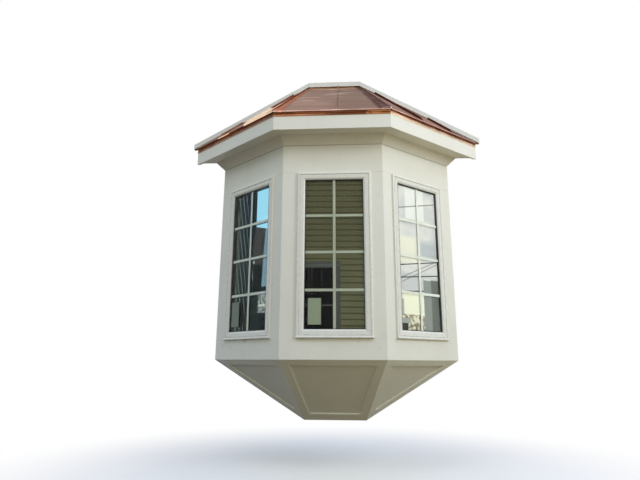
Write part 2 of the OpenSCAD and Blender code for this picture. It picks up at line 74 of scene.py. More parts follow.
# Plan of the bay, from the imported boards
APRON_LOW, APRON_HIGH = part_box("front_apron")
SIDE_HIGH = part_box("right_apron")[1]
HALF_FRONT = APRON_HIGH.x
PROJECTION = -APRON_LOW.y
SIDE_ANGLE = math.atan2(PROJECTION, SIDE_HIGH.x - HALF_FRONT)
COS, SIN = math.cos(SIDE_ANGLE), math.sin(SIDE_ANGLE)
Z_WINDOW = APRON_HIGH.z
Z_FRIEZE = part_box("frieze")[0].z

# Roof, whose surface is the top of the copper
COPPER_T = 0.0015
PANS_LOW, PANS_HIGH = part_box("front_roof_pans")
WALL_FACE = PANS_HIGH.y
EAVE_OUT = -PANS_LOW.y - PROJECTION
Z_EAVE = PANS_LOW.z + COPPER_T
FRONT_SLOPE = (PANS_HIGH.z - Z_EAVE) / (PANS_HIGH.y - PANS_LOW.y)
DRIP_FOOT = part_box("drip_edge")[0].z
TRIM_FOOT = Z_EAVE - (Z_EAVE - DRIP_FOOT) / 4
HALF_TOP = 0.236  # half the front slope's width in the plane of the wall
OVERHANG = 0.173  # from the boards of a face to its fascia
FRONT_SEAM_X = 0.040
SIDE_SEAMS = 2
PAN_GAP = 0.001
HIP_WING_FOOT = 0.075
HIP_WING_HEAD = 0.016
EAVE_END_Y = -0.0005  # where the strips along the eaves stop short of the wall

# Window frames: widths of the frame beside, under and over the glass
RIM_W = 0.018
RIM_OUT = 0.016
FACE_OUT = 0.014
GROOVE_W = 0.003
GROOVE_D = 0.004
FRAME_SIDE_W = 0.062
FRAME_BOTTOM_H = 0.066
FRAME_TOP_H = 0.064

# Double glazing and the grille between its panes
GLASS_FRONT = -0.004
PANE_T = 0.004
GLASS_T = 0.024
GLASS_EDGE = 0.0085
SPACER_W = 0.012
BAR_W = 0.0165
BAR_T = 0.006
GRILLE_COLUMNS = 2
GRILLE_ROWS = 4
TONE_OVER = 0.02  # how far the tones of a pane run on past the glass that shows

# Bare label sheets on the glass: (x of the middle, z of the middle, width, height)
LABELS = {"front": (-0.139, 0.291, 0.101, 0.201), "left": (0.552, 0.298, 0.098, 0.205)}

# Greatest angle between faces that are shaded as one surface, in degrees
FLAT, SMOOTH, FOLDED = 10, 35, 40


# Plan geometry, as distances out from the boards' faces


class Face:
    """One face of the bay: x runs along it, depth goes into the house and z is up."""

    def __init__(self, name, corner, along):
        self.name = name
        self.corner = Vector((*corner, 0))
        self.along = Vector((*along, 0))
        inward = Vector((-self.along.y, self.along.x, 0))
        self.inward = inward if inward.y > 0 else -inward

    def point(self, x, depth, z):
        return self.corner + self.along * x + self.inward * depth + Vector((0, 0, z))

    def box(self, node):
        """Lowest and highest (x, depth, z) of a CAD node in this face's own frame."""
        near = [vertex.co - self.corner for vertex in frame["nodes"][node].data.vertices]
        local = [(way.dot(self.along), way.dot(self.inward), way.z) for way in near]
        return [min(axis) for axis in zip(*local)], [max(axis) for axis in zip(*local)]

    def window(self):
        """Lowest and highest (x, z) of the window frame."""
        low, high = self.box(self.name + "_window_frame")
        return (low[0], low[2]), (high[0], high[2])

    def glass(self):
        """Lowest and highest (x, z) of the glass that shows."""
        (x_low, z_low), (x_high, z_high) = self.window()
        return (x_low + FRAME_SIDE_W, z_low + FRAME_BOTTOM_H), (x_high - FRAME_SIDE_W, z_high - FRAME_TOP_H)


FACES = {
    "left": Face("left", (-HALF_FRONT, -PROJECTION), (-COS, SIN)),
    "front": Face("front", (0, -PROJECTION), (1, 0)),
    "right": Face("right", (HALF_FRONT, -PROJECTION), (COS, SIN)),
}


def corner(out):
    """Where lines out from the front and the right face meet."""
    return Vector((HALF_FRONT + out * math.tan(SIDE_ANGLE / 2), -PROJECTION - out))


def at_wall(out, y=0.0):
    """Where a line out from the right face reaches the wall, or another plane of equal y."""
    return Vector((SIDE_HIGH.x + (out + COS * y) / SIN, y))


def hip_point(y):
    """Where the right hip crosses a plane of equal y."""
    foot = corner(EAVE_OUT)
    return Vector((HALF_TOP + (foot.x - HALF_TOP) * y / foot.y, y))


def mirrored(point):
    return Vector((-point.x, *point[1:]))


def on_side(side, point):
    """A point of the right side as it is, or mirrored for the left side."""
    return mirrored(point) if side == "left" else point


# Materials


def linear(colour):
    """A shader's colour from three display values of 0 to 255; a socket or linear colour stays as it is."""
    if not isinstance(colour, tuple) or len(colour) != 3:
        return colour
    shares = [value / 255 for value in colour]
    return *(share / 12.92 if share <= 0.04045 else ((share + 0.055) / 1.055) ** 2.4 for share in shares), 1.0


class Nodes:
    """Adds nodes to a tree; an input is a plain value or the output socket of another node."""

    def __init__(self, tree):
        self.tree = tree

    def put(self, socket, value):
        if isinstance(value, bpy.types.NodeSocket):
            self.tree.links.new(value, socket)
        else:
            socket.default_value = value

    def node(self, kind, inputs=None, **settings):
        made = self.tree.nodes.new("ShaderNode" + kind)
        for name, value in settings.items():
            setattr(made, name, value)
        for name, value in (inputs or {}).items():
            self.put(made.inputs[name], value)
        return made

    def math(self, operation, a, b):
        return self.node("Math", {0: a, 1: b}, operation=operation).outputs["Value"]

    def level(self, value, low, high, to_low=0.0, to_high=1.0):
        """Maps value from low..high to to_low..to_high, clamped, with a smooth start and end."""
        made = self.node("MapRange", {
            "Value": value, "From Min": low, "From Max": high, "To Min": to_low, "To Max": to_high,
        }, interpolation_type="SMOOTHSTEP")
        return made.outputs["Result"]

    def blend(self, share, a, b):
        """Mixes two colours, each in a form that linear() takes."""
        return self.node("Mix", {0: share, 6: linear(a), 7: linear(b)}, data_type="RGBA").outputs[2]

    def seen_directly(self):
        """1 for rays from the camera, a mirror or a pane, and 0 for the rays that light the object."""
        path = self.node("LightPath").outputs
        seen = self.math("MAXIMUM", path["Is Camera Ray"], path["Is Glossy Ray"])
        return self.math("MAXIMUM", seen, path["Is Transmission Ray"])


class Paint(Nodes):
    """A node material, built from patterns that lie in the model's own frame."""

    def __init__(self, name, **sockets):
        self.material = bpy.data.materials.new(name)
        self.material.use_nodes = True
        super().__init__(self.material.node_tree)
        self.shader = self.tree.nodes["Principled BSDF"]
        self.coords = self.node("TexCoord").outputs["Object"]
        for socket, value in sockets.items():
            self.put(self.shader.inputs[socket.replace("_", " ")], value)

    def noise(self, scale, detail=3.0, stretch=(1, 1, 1), shift=(0, 0, 0)):
        """Soft noise from 0 to 1; scale is in features per metre, and a low stretch lengthens them."""
        mapped = self.node("Mapping", {"Vector": self.coords, "Scale": stretch, "Location": shift})
        made = self.node("TexNoise", {"Vector": mapped.outputs["Vector"], "Scale": scale, "Detail": detail})
        return made.outputs["Fac"]

    def ragged(self, value, scale, detail, reach, shift=(0, 0, 0)):
        """A distance with noise of up to reach added, which makes an edge laid on it ragged."""
        waver = self.level(self.noise(scale, detail, shift=shift), 0.3, 0.7, -reach, reach)
        return self.math("ADD", value, waver)

    def axis(self, name):
        return self.node("SeparateXYZ", {"Vector": self.coords}).outputs[name]

    def along(self, face):
        """Distance along a face of the bay."""
        made = self.node("VectorMath", {0: self.coords, 1: face.along}, operation="DOT_PRODUCT")
        return self.math("SUBTRACT", made.outputs["Value"], face.corner.dot(face.along))

    def leaning(self, value, other, rise):
        """A distance whose lines lean, by rise for each metre of another distance."""
        return self.math("SUBTRACT", value, self.math("MULTIPLY", other, rise))

    def band(self, value, low, high, soft):
        """1 from low to high, falling to 0 over soft on either side."""
        return self.math("SUBTRACT", self.level(value, low - soft, low), self.level(value, high, high + soft))

    def patches(self, below, *areas):
        """Soft-edged rectangles over the colour below, one on the other.

        Each is (colour, across, up, soft), with a share too if it lets some of the colour below
        through; across and up are (value, low, high).
        """
        for colour, across, up, soft, *share in areas:
            mask = self.math("MULTIPLY", self.band(*across, soft), self.band(*up, soft))
            below = self.blend(self.math("MULTIPLY", mask, *share or [1.0]), below, colour)
        return below

    def colour(self, value):
        self.put(self.shader.inputs["Base Color"], value)

    def roughness(self, pattern, low, high, start=0.3, stop=0.7):
        """Roughness from low to high, as the pattern goes from start to stop."""
        self.put(self.shader.inputs["Roughness"], self.level(pattern, start, stop, low, high))

    def bump(self, *layers):
        """Adds layers of (height, depth in metres), one on the other."""
        below = None
        for height, depth in layers:
            made = self.node("Bump", {"Height": height, "Distance": depth, "Strength": 1.0})
            if below is not None:
                self.put(made.inputs["Normal"], below)
            below = made.outputs["Normal"]
        self.put(self.shader.inputs["Normal"], below)


def white_board(name, clean, grime):
    """Satin trim board: faint mottling, rain streaks, smudges near the sills and a painted shadow line where
    the frieze meets the head panel.
    """
    paint = Paint(name, Specular_IOR_Level=0.4)
    half_shadow_line = 0.0015
    z = paint.axis("Z")
    mottle = paint.level(paint.noise(3.2, 5.0), 0.35, 0.75, 0.0, 0.12)
    streaks = paint.level(paint.noise(34, 4.0, stretch=(1, 1, 0.05)), 0.52, 0.80, 0.0, 0.08)
    smudges = paint.level(paint.noise(16, 6.0, shift=(3.1, 0.4, 1.7)), 0.56, 0.74, 0.0, 0.5)
    near_sill = paint.band(z, Z_WINDOW - 0.03, Z_WINDOW, 0.06)
    handled = paint.math("MULTIPLY", smudges, paint.math("ADD", near_sill, 0.15))
    dirt = paint.math("ADD", paint.math("ADD", mottle, streaks), handled)
    # Painted shadow: a dark line where the frieze meets the head panel
    frieze_shadow_line = paint.band(z, Z_FRIEZE - half_shadow_line, Z_FRIEZE + half_shadow_line, 0.001)
    board = paint.blend(dirt, clean, grime)
    paint.colour(paint.blend(paint.math("MULTIPLY", frieze_shadow_line, 0.8), board, (104, 98, 78)))
    paint.roughness(paint.noise(22, 4.0), 0.36, 0.52)
    paint.bump((paint.noise(260, 2.0), 0.00004))
    return paint.material


def vinyl(name, clean, grime):
    """Smooth extruded window profile with faint smudges."""
    paint = Paint(name, Specular_IOR_Level=0.5)
    smudge = paint.level(paint.noise(6, 3.0, shift=(1.3, 2.2, 0.1)), 0.5, 0.80, 0.0, 0.1)
    paint.colour(paint.blend(smudge, clean, grime))
    paint.roughness(paint.noise(30, 3.0), 0.24, 0.36)
    paint.bump((paint.noise(14, 2.0), 0.00005))
    return paint.material


def copper_sheet(name, pale, deep, stain, streak, edge=0.53):
    """New copper with streaks, cloudy stains, dark specks and dents; edge tints grazing reflections."""
    paint = Paint("copper_" + name, Metallic=1.0, Specular_Tint=(edge, edge, edge, 1))
    streaks = paint.level(paint.noise(16, 5.0, stretch=streak), 0.36, 0.66)
    clouds = paint.level(paint.noise(5.0, 5.0, shift=(0.7, 2.0, 0.3)), 0.45, 0.7, 0.0, 0.75)
    specks = paint.level(paint.noise(70, 2.0, shift=(5.0, 1.0, 2.0)), 0.68, 0.78, 0.0, 0.4)
    body = paint.blend(clouds, paint.blend(streaks, deep, pale), stain)
    body = paint.blend(specks, body, deep)
    paint.colour(body)
    paint.roughness(paint.noise(14, 5.0, stretch=streak), 0.26, 0.44, 0.3, 0.75)
    paint.bump((paint.noise(7, 3.0), 0.003), (paint.noise(90, 2.0, stretch=streak), 0.0002))
    return paint, body


def changing_copper(name, tones, colour, axis, edge_noise, change):
    """Copper that changes to another colour along an axis; change holds the arguments of level()."""
    paint, body = copper_sheet(name, *tones)
    place = paint.ragged(paint.axis(axis), *edge_noise)
    paint.colour(paint.blend(paint.level(place, *change), body, colour))
    return paint.material


def front_copper():
    """Copper of the front slope: browner to the right, rusty along its top, with painted reflection streaks
    in its upper left and dark painted shade beside the right hip.
    """
    paint, body = copper_sheet("front", (188, 150, 131), (168, 130, 111), (172, 136, 122), (0.10, 1, 1))
    x, y, z = paint.axis("X"), paint.axis("Y"), paint.axis("Z")
    body = paint.blend(paint.level(x, -0.12, 0.14, 0.0, 0.6), body, (146, 116, 100))

    # Painted reflection: pale level streaks over the upper left of the slope
    reflection_ripples = paint.level(paint.noise(20, 2.0, stretch=(0.16, 1, 1), shift=(0.4, 0.0, 1.3)), 0.52, 0.62)
    high_up = paint.level(z, Z_EAVE + 0.1, PANS_HIGH.z - 0.2)
    upper_left = paint.math("MULTIPLY", high_up, paint.level(x, 0.25, -0.05))
    body = paint.blend(paint.math("MULTIPLY", reflection_ripples, upper_left), body, (236, 206, 188))

    edge = {"scale": 9, "detail": 5.0, "shift": (2.0, 1.0, 4.0)}
    rust = paint.blend(paint.level(paint.noise(14, 4.0), 0.4, 0.62), (192, 138, 96), (213, 169, 136))
    height = paint.ragged(z, reach=0.02, **edge)
    body = paint.blend(paint.level(height, PANS_HIGH.z - 0.075, PANS_HIGH.z - 0.05, 0.0, 0.9), body, rust)

    # Painted shade: a dark strip beside the right hip
    hip_lean, hip_shade_x = 0.248, HALF_TOP - 0.040
    beside_hip = paint.ragged(paint.leaning(x, y, -hip_lean), reach=0.008, **edge)
    dark = paint.level(beside_hip, hip_shade_x - 0.006, hip_shade_x + 0.006, 0.0, 0.9)
    paint.colour(paint.blend(dark, body, (112, 66, 54)))
    return paint.material


def timber(name, pale, dark, grain):
    """Planed softwood; grain is the stretch that lays the fibres along the board."""
    paint = Paint(name, Specular_IOR_Level=0.3)
    rings = paint.noise(22, 4.0, stretch=grain)
    fibres = paint.noise(190, 3.0, stretch=grain)
    knots = paint.level(paint.noise(5.5, 2.0, stretch=tuple(0.5 + share / 2 for share in grain)), 0.66, 0.74)
    wood = paint.blend(paint.level(rings, 0.38, 0.62), pale, dark)
    wood = paint.blend(paint.level(fibres, 0.45, 0.75, 0.0, 0.45), wood, dark)
    paint.colour(paint.blend(paint.math("MULTIPLY", knots, 0.7), wood, (96, 62, 36)))
    paint.roughness(fibres, 0.55, 0.75)
    paint.bump((fibres, 0.0004), (rings, 0.0006))
    return paint.material


def lining(name):
    """Framed wall: painted lining inside, bare framing at the wall edge and sheathing over the ceiling."""
    paint = Paint(name, Specular_IOR_Level=0.3)
    mottle = paint.level(paint.noise(4, 4.0), 0.35, 0.75, 0.0, 0.2)
    painted = paint.blend(mottle, (232, 230, 222), (206, 203, 192))
    fibres = paint.noise(120, 3.0, stretch=(1, 1, 0.05))
    bare = paint.blend(paint.level(fibres, 0.4, 0.7), (205, 170, 122), (160, 122, 78))
    z_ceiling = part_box("ceiling_board")[1].z
    at_edge = paint.level(paint.axis("Y"), -0.004, -0.002)
    over_ceiling = paint.level(paint.axis("Z"), z_ceiling, z_ceiling + 0.002)
    paint.colour(paint.blend(paint.math("MAXIMUM", at_edge, over_ceiling), painted, bare))
    paint.roughness(fibres, 0.5, 0.7)
    paint.bump((paint.noise(300, 2.0), 0.0001), (fibres, 0.0001))
    return paint.material


def plain(name, colour, other, scale, rough_low, rough_high, depth):
    """Two close tones in a soft pattern, for small parts."""
    paint = Paint(name)
    pattern = paint.noise(scale, 4.0)
    paint.colour(paint.blend(paint.level(pattern, 0.3, 0.7), colour, other))
    paint.roughness(pattern, rough_low, rough_high)
    paint.bump((pattern, depth))
    return paint.material


def clear_pane(name):
    """Outer pane: clear float glass with a faint green and a trace of dust."""
    paint = Paint(name, Transmission_Weight=1.0, IOR=1.14)
    dust = paint.level(paint.noise(40, 4.0), 0.55, 0.85, 0.0, 0.05)
    paint.colour(paint.blend(dust, (249, 252, 248), (220, 220, 210)))
    paint.roughness(paint.noise(25, 3.0), 0.0, 0.02, 0.4, 0.8)
    return paint.material


def painted_reflection_pane(face, tone, mirror):
    """Inner pane whose colour is a painted reflection, given by a function of the distances x and z on its
    face and the ends of its area.
    """
    edge = 0.5
    paint = Paint(
        f"tinted_glass_{face.name}", Transmission_Weight=0.06, IOR=1.15, Metallic=mirror,
        Specular_Tint=(edge, edge, edge, 1),
    )
    (x_low, z_low), (x_high, z_high) = face.glass()
    ends = x_low - TONE_OVER, x_high + TONE_OVER, z_low - TONE_OVER, z_high + TONE_OVER
    paint.colour(tone(paint, paint.along(face), paint.axis("Z"), *ends))
    paint.roughness(paint.noise(25, 3.0), 0.02, 0.05, 0.3, 0.8)
    return paint.material


def front_reflection(paint, x, z, left, right, bottom, top):
    """Painted reflection: olive with level lines, in the lower left a dark area with a grey border, and
    painted shade along the top.
    """
    spacing, first_line, rise = 0.0472, 0.184, -0.015
    olive = paint.blend(paint.level(paint.noise(3, 3.0), 0.35, 0.65), (108, 106, 80), (100, 99, 73))
    olive = paint.blend(paint.level(z, 0.35, 1.0), olive, (92, 89, 65))
    height = paint.leaning(paint.math("SUBTRACT", z, first_line), x, rise)
    line = paint.level(paint.math("PINGPONG", height, spacing / 2), 0.0030, 0.0075, 0.7, 0.0)
    upright = [
        ((64, 64, 63), (x, at - 0.001, at + 0.001), (z, 0.42, 0.63), 0.003) for at in (-0.186, -0.163, -0.085)
    ]
    shade = (x, left + TONE_OVER, right - TONE_OVER), (z, top - TONE_OVER - 0.004, top - TONE_OVER)
    return paint.patches(
        paint.blend(line, olive, (50, 48, 32)),
        ((74, 77, 72), (x, left, 0.060), (z, bottom, 0.682), 0.003),
        ((92, 92, 90), (x, left, 0.050), (z, 0.650, 0.656), 0.004),
        ((10, 11, 11), (x, left, 0.012), (z, bottom, 0.630), 0.004),
        *upright,
        ((88, 90, 82), (x, left, 0.025), (z, 0.336, 0.342), 0.003),
        ((30, 30, 24), *shade, 0.02, 0.6),
    )


def left_reflection(paint, x, z, near, far, bottom, top):
    """Painted reflection: dark teal with slanting lines, pale blue in the upper near corner and blue-grey
    under it.
    """
    teal = paint.blend(paint.level(paint.noise(3.5, 3.0), 0.35, 0.65), (8, 28, 32), (22, 40, 40))
    teal = paint.patches(teal, ((0, 26, 46), (x, 0.37, 0.50), (z, 1.00, top), 0.04, 0.9))
    line = paint.level(paint.math("PINGPONG", paint.leaning(x, z, 0.22), 0.024), 0.001, 0.008, 1.0, 0.0)
    far_lines = paint.math("MULTIPLY", line, paint.level(x, 0.40, 0.50))
    marks = paint.level(paint.noise(60, 2.0, stretch=(1, 1, 0.6)), 0.45, 0.6)
    paper = paint.blend(marks, (98, 108, 112), (170, 178, 176))
    rising = paint.leaning(z, x, 0.27)
    spots = [
        ((150, 160, 162), (x, at_x - 0.010, at_x + 0.010), (z, at_z - 0.008, at_z + 0.008), 0.006)
        for at_x, at_z in ((0.385, 0.845), (0.352, 0.722))
    ]
    return paint.patches(
        paint.blend(far_lines, teal, (106, 122, 124)),
        ((77, 84, 75), (x, 0.57, far), (z, bottom, 1.2), 0.02, 0.6),
        ((34, 32, 24), (x, 0.375, 0.44), (z, bottom, 0.40), 0.02, 0.7),
        ((58, 58, 60), (paint.leaning(x, z, -0.20), near, 0.535), (rising, 0.62, 0.936), 0.010),
        ((0, 12, 16), (x, 0.245, 0.335), (z, 0.50, 0.68), 0.03, 0.8),
        ((113, 146, 165), (paint.leaning(x, z, -0.07), near, 0.280), (z, 0.51, 0.99), 0.006),
        ((160, 224, 255), (x, near, 0.333), (rising, 0.938, top), 0.003),
        ((190, 240, 255), (x, near, 0.333), (paint.leaning(z, x, -0.30), 1.148, 1.152), 0.003),
        (paper, (x, near, 0.280), (z, 0.30, 0.455), 0.006, 0.9),
        ((188, 194, 190), (x, near, 0.275), (z, 0.350, 0.362), 0.005),
        ((118, 128, 130), (paint.leaning(x, z, 0.156), 0.267, 0.273), (z, 0.57, 0.84), 0.004),
        *spots,
        ((8, 18, 14), (x, near, 0.262), (z, bottom, 0.275), 0.02, 0.7),
    )


def right_reflection(paint, x, z, near, far, bottom, top):
    """Painted reflection: pale and cloudy with dark rising lines, cream lower down and grey in the lower far
    corner.
    """
    clouds = paint.level(paint.noise(3.4, 4.0, stretch=(1, 1, 1.6), shift=(0.4, 0.0, 2.2)), 0.42, 0.62)
    mottle = paint.level(paint.noise(34, 4.0), 0.42, 0.58)
    lines = [
        ((62, 66, 58), (x, start_x, far), (paint.leaning(z, x, rise), at - 0.005, at), 0.004, strength)
        for rise, at, start_x, strength in (
            (0.236, 1.114, near, 0.7), (0.152, 0.650, near, 1.0), (0.118, 0.554, near, 1.0),
            (0.079, 0.449, near, 1.0), (0.432, 0.457, 0.20, 0.5), (0.403, 0.500, 0.20, 0.5),
        )
    ]
    return paint.patches(
        paint.blend(clouds, (236, 233, 228), (220, 218, 219)),
        ((248, 246, 243), (x, 0.262, 0.484), (z, 1.078, top), 0.004),
        ((246, 242, 226), (x, near, 0.36), (z, 0.72, 0.90), 0.05),
        ((196, 200, 204), (x, 0.46, far), (z, 0.79, 0.86), 0.07),
        ((212, 212, 214), (x, near, 0.44), (z, 0.50, 0.60), 0.04),
        *lines,
        ((255, 253, 228), (paint.ragged(x, 30, 4.0, 0.014), 0.200, 0.44), (z, 0.285, 0.446), 0.006),
        ((160, 160, 150), (x, near, 0.205), (z, 0.25, 0.40), 0.01, 0.7),
        (paint.blend(mottle, (240, 232, 206), (140, 134, 112)), (x, near, 0.44), (z, bottom, 0.278), 0.01),
        ((62, 66, 56), (x, near, 0.245), (z, bottom, 0.212), 0.008),
        ((176, 178, 170), (x, near, 0.274), (z, 0.216, 0.252), 0.004),
        ((150, 155, 150), (x, 0.445, far), (z, bottom, 0.572), 0.004),
        ((112, 118, 111), (x, 0.545, far), (z, bottom, 0.572), 0.02),
        ((54, 56, 48), (x, near, near + 0.032), (z, 0.41, 0.80), 0.006, 0.9),
    )


PVC = white_board("white_pvc", (231, 230, 223), (190, 187, 173))
SHADED_PVC = white_board("white_pvc_wall", (216, 216, 212), (180, 178, 168))
VINYL = vinyl("white_vinyl", (226, 226, 221), (204, 203, 192))
WOOD_X = timber("timber_level", (214, 178, 128), (178, 136, 88), (0.06, 1, 1))
WOOD_Y = timber("timber_sloped", (212, 174, 122), (172, 130, 84), (1, 0.08, 0.2))
LINING = lining("lining")
PAINTED = plain("painted_board", (233, 231, 224), (222, 219, 209), 14, 0.35, 0.5, 0.0003)
CAULK = plain("caulk", (234, 233, 226), (216, 213, 200), 60, 0.4, 0.6, 0.0004)
GASKET = plain("gasket", (26, 26, 25), (38, 37, 35), 90, 0.4, 0.6, 0.0001)
# The white vinyl bars get a tone for each face as painted light: near white on the right, painted shade in
# front and on the left
BARS_PAINTED_LIGHT = {name: plain("grille_bar_painted_light_" + name, *tones, 40, 0.3, 0.4, 0.0001) for name, tones in {
    "left": ((174, 184, 182), (162, 172, 168)),
    "front": ((170, 173, 154), (160, 164, 143)),
    "right": ((238, 238, 230), (226, 227, 217)),
}.items()}
# The white label sheets are painted grey-green as painted shade, darker on the left face
LABEL_PAINTED_SHADE = {name: plain("label_" + name, *tones, 70, 0.5, 0.7, 0.0001) for name, tones in {
    "left": ((118, 130, 120), (104, 118, 108)),
    "front": ((146, 158, 132), (136, 149, 124)),
}.items()}
CLEAR = clear_pane("clear_glass")
# Inner panes, each coloured with the painted reflection seen on its face
REFLECTION_PANES = {name: painted_reflection_pane(FACES[name], tone, mirror) for name, tone, mirror in (
    ("left", left_reflection, 1.0), ("front", front_reflection, 0.0), ("right", right_reflection, 0.0),
)}

# Which way the copper's streaks run
ALONG_X, LEVEL, UPRIGHT = (0.3, 1, 1), (0.3, 0.3, 1), (1, 1, 0.3)
UP_SIDE, BROAD = (1, 0.12, 0.12), (0.3, 0.3, 0.3)

# Each copper's pale, deep and stained tone, its streaks and, where it isn't the usual one, its edge
COPPERS = {name: copper_sheet(name, *tones)[0].material for name, tones in {
    "side": ((182, 136, 118), (154, 112, 96), (162, 116, 100), UP_SIDE),
    "lit": ((238, 200, 166), (222, 176, 138), (228, 186, 152), UP_SIDE, 1.0),
    "red": ((208, 128, 92), (186, 108, 74), (188, 128, 100), ALONG_X),
    # Dark purple-brown: painted shade on the right hip's wings, the right seams and the right pan by the wall
    "plum_shade": ((112, 66, 54), (92, 50, 38), (106, 62, 50), ALONG_X),
    # Pale pink: a painted highlight on the right hip's fold and corner tab
    "pink_highlight": ((172, 138, 128), (140, 106, 98), (158, 124, 114), UPRIGHT),
    # Hem copper is lighter than the pans, as a painted highlight along the eaves' edge
    "hem": ((200, 164, 150), (164, 130, 114), (180, 146, 132), BROAD),
    # Pale peach: painted highlights on parts of the left hems and on the right drip kick
    "peach_highlight": ((255, 238, 212), (252, 208, 168), (255, 226, 194), BROAD, 1.0),
    "brown": ((128, 84, 60), (96, 58, 38), (116, 76, 54), LEVEL),
    "tan": ((196, 156, 132), (150, 112, 90), (182, 142, 120), LEVEL),
    "dark": ((140, 84, 58), (110, 60, 40), (146, 92, 66), ALONG_X),
    "shaded": ((92, 66, 54), (66, 44, 34), (104, 80, 66), ALONG_X),
}.items()}
COPPERS["front"] = front_copper()
# A seam with a painted highlight on its lower part and dull copper above it
COPPERS["part_highlit_seam"] = changing_copper(
    "part_highlit_seam", ((150, 92, 72), (124, 72, 54), (132, 84, 66), BROAD),
    (255, 244, 224), "Z", (24, 3.0, 0.01), (Z_EAVE + 0.28, Z_EAVE + 0.30, 1.0, 0.0),
)
# Front drip copper, brighter towards its right end as a painted reflection
COPPERS["drip"] = changing_copper(
    "drip", ((148, 94, 62), (106, 64, 40), (142, 90, 58), ALONG_X),
    (186, 124, 78), "X", (20, 4.0, 0.05), (0.26, 0.32, 0.0, 0.85),
)


# Meshes and pieces


def new_object(name, data):
    made = bpy.data.objects.new(name, data)
    bpy.context.scene.collection.objects.link(made)
    return made


def new_mesh(name, bm, smooth=SMOOTH):
    """Ends a bmesh as a mesh with outward normals, smooth but for its sharp edges."""
    bmesh.ops.recalc_face_normals(bm, faces=bm.faces)
    mesh = bpy.data.meshes.new(name)
    bm.to_mesh(mesh)
    bm.free()
    mesh.shade_smooth()
    mesh.set_sharp_from_angle(angle=math.radians(smooth))
    return mesh


def add_piece(name, bm, material, slot, *nodes, smooth=SMOOTH):
    """Makes a bmesh a piece of the object, which stands for CAD nodes if any are named."""
    made = new_object(name, new_mesh(name, bm, smooth))
    made.data.materials.append(material)
    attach(made, BODY)
    if nodes:
        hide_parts(*nodes)


def add_copper(name, bm, tone, *nodes, smooth=SMOOTH):
    add_piece(name, bm, COPPERS[tone], "copper", *nodes, smooth=smooth)


def join_ring(bm, rows):
    """Quads between rows of points, each row a closed outline, with the first and last rows as ends."""
    count = len(rows[0])
    verts = [[bm.verts.new(point) for point in row] for row in rows]
    for low, high in zip(verts, verts[1:]):
        for i in range(count):
            j = (i + 1) % count
            bm.faces.new((low[i], low[j], high[j], high[i]))
    bm.faces.new(verts[0])
    bm.faces.new(verts[-1])


def block(bm, face, low, high):
    """Box in a face's own frame, from one (x, depth, z) to another."""
    outline = [(low[0], low[2]), (high[0], low[2]), (high[0], high[2]), (low[0], high[2])]
    join_ring(bm, [[face.point(x, depth, z) for x, z in outline] for depth in (low[1], high[1])])


def soften(bm, width, segments=2, sharp_angle=20):
    """Rounds the sharp edges of a solid."""
    bmesh.ops.remove_doubles(bm, verts=bm.verts, dist=1e-5)
    bmesh.ops.dissolve_limit(bm, angle_limit=math.radians(0.5), verts=bm.verts, edges=bm.edges)
    sharp = [
        edge for edge in bm.edges
        if len(edge.link_faces) == 2 and edge.calc_face_angle(0) > math.radians(sharp_angle)
    ]
    bmesh.ops.bevel(
        bm, geom=sharp, offset=width, segments=segments, profile=0.5, affect="EDGES", clamp_overlap=True,
    )


def eased_copy(node, material, slot, width):
    """Stands for a CAD node with the same solid, its edges eased."""
    bm = bmesh.new()
    bm.from_mesh(frame["nodes"][node].data)
    soften(bm, width)
    add_piece(node + "_board", bm, material, slot, node, smooth=FLAT)


# Windows


def rail_outline(width):
    """Section of a window rail as (inset, depth), round from the back of the rim to the room side."""
    rounding, bulge, ease, room_rounding = 0.003, 0.0009, 0.001, 0.003
    rim_front, face_front, groove_floor = -RIM_OUT, -FACE_OUT, GROOVE_D - FACE_OUT
    groove = RIM_W + GROOVE_W
    bead = width - 0.012
    back, flange, flange_back = 0.083, 0.012, 0.019
    return [
        (0.0, flange_back), (0.0, rim_front + rounding), (bulge, rim_front + bulge), (rounding, rim_front),
        (RIM_W - rounding, rim_front), (RIM_W - bulge, rim_front + bulge), (RIM_W, rim_front + rounding),
        (RIM_W, groove_floor), (groove, groove_floor),
        (groove, face_front + ease), (groove + ease, face_front),
        (bead - 0.004, face_front), (bead, face_front + ease),
        (bead, face_front + 0.003), (bead + 0.002, face_front + 0.003),
        (width - 0.002, GLASS_FRONT - 0.002), (width, GLASS_FRONT + ease),
        (width, back - room_rounding), (width - room_rounding, back),
        (flange + room_rounding, back), (flange, back - room_rounding), (flange, flange_back),
    ]


def mitred_rails(face, low, high, outlines, gap=0.0):
    """Four mitred rails round a rectangle; the outlines are for left, bottom, right and top."""
    bm = bmesh.new()
    left, bottom, right, top = outlines

    def at(x_side, z_side, i):
        x = low[0] + left[i][0] if x_side < 0 else high[0] - right[i][0]
        z = low[1] + bottom[i][0] if z_side < 0 else high[1] - top[i][0]
        return Vector((x, left[i][1], z))

    corners = [(-1, -1), (1, -1), (1, 1), (-1, 1)]
    for start, end in zip(corners, corners[1:] + corners[:1]):
        way = Vector((end[0] - start[0], 0, end[1] - start[1])).normalized() * gap
        join_ring(bm, [
            [face.point(*(at(*place, i) + shift)) for i in range(len(left))]
            for place, shift in ((start, way), (end, -way))
        ])
    return bm


def window_frame(face):
    """Rails with rim, groove and glazing bead, with the gasket that holds the glass."""
    name = face.name + "_window"
    hairline = 0.0003
    sides, bottom, top = (rail_outline(width) for width in (FRAME_SIDE_W, FRAME_BOTTOM_H, FRAME_TOP_H))
    bm = mitred_rails(face, *face.window(), (sides, bottom, sides, top), hairline)
    add_piece(name + "_rails", bm, VINYL, "white_vinyl", face.name + "_window_frame", smooth=30)
    gasket = [
        (-0.002, GLASS_FRONT - 0.0020), (0.0003, GLASS_FRONT - 0.0024), (0.0014, GLASS_FRONT - 0.0016),
        (0.0018, GLASS_FRONT), (-0.002, GLASS_FRONT),
    ]
    add_piece(name + "_gasket", mitred_rails(face, *face.glass(), [gasket] * 4), GASKET, "spacer")


